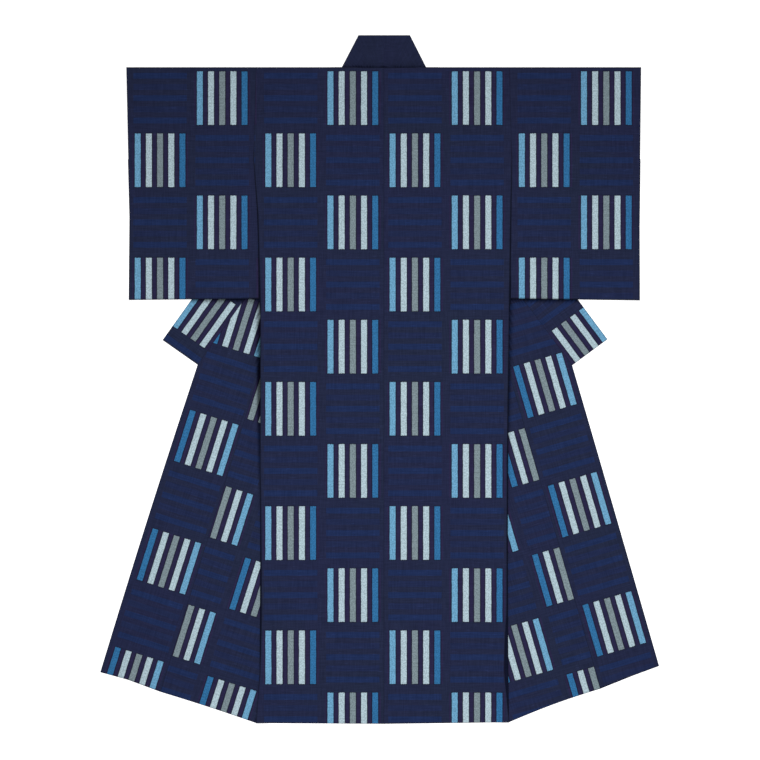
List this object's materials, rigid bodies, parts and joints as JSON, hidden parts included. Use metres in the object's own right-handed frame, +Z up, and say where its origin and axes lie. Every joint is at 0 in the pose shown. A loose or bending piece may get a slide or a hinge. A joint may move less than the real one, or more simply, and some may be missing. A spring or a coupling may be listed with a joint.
{
  "type": "kimono laid flat",
  "caption": "Kimono lying flat with its back up: square bag sleeves, fronts and overlaps turned out from under the back as fans, and a wide collar band that stands past the shoulder line.",
  "frame": {"origin": "middle of the footprint, on the surface that the garment lies on", "axes": "+Z up out of the cloth's back, +Y from hem to collar, +X towards the wearer's right"},
  "size_m": [1.395, 1.719, 0.0042],
  "materials": {
    "body_cloth": "plain-woven hand-spun silk, deep indigo with a woven block pattern, dry surface with a low sheen",
    "sleeve_cloth": "the same silk as the body",
    "overlap_cloth": "the same silk as the body, at half its width",
    "collar_cloth": "the same silk as the body, plain round the neck"
  },
  "bodies": {
    "root": {"body_left": "body_cloth", "body_right": "body_cloth", "sleeve_left": "sleeve_cloth", "sleeve_right": "sleeve_cloth", "overlap_left": "overlap_cloth", "overlap_right": "overlap_cloth", "collar": "collar_cloth"}
  },
  "joints": []
}
